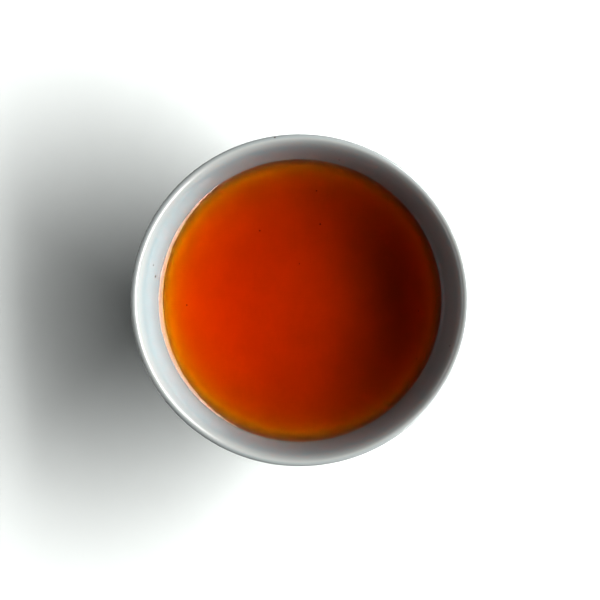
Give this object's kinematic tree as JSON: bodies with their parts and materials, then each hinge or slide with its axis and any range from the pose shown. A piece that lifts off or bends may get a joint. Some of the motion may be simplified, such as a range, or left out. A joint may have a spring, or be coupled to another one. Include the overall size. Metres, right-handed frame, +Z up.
{
  "type": "cup of black tea",
  "caption": "Handleless glazed porcelain cup with a flared, rounded lip and a foot ring, filled with clear black tea to below the lip.",
  "frame": {"origin": "centre of the foot ring's underside, on the plane that the cup stands on", "axes": "+Z up through the cup's mouth; +X along the longer diameter of the slightly oval rim, to the right in the picture; +Y towards the picture's top"},
  "size_m": [0.0908, 0.0892, 0.056],
  "materials": {
    "glazed_porcelain": "clear gloss glaze on white porcelain",
    "black_tea": "clear orange-red liquid with a smooth surface"
  },
  "bodies": {
    "root": {"cup": "glazed_porcelain", "tea": "black_tea"}
  },
  "joints": []
}
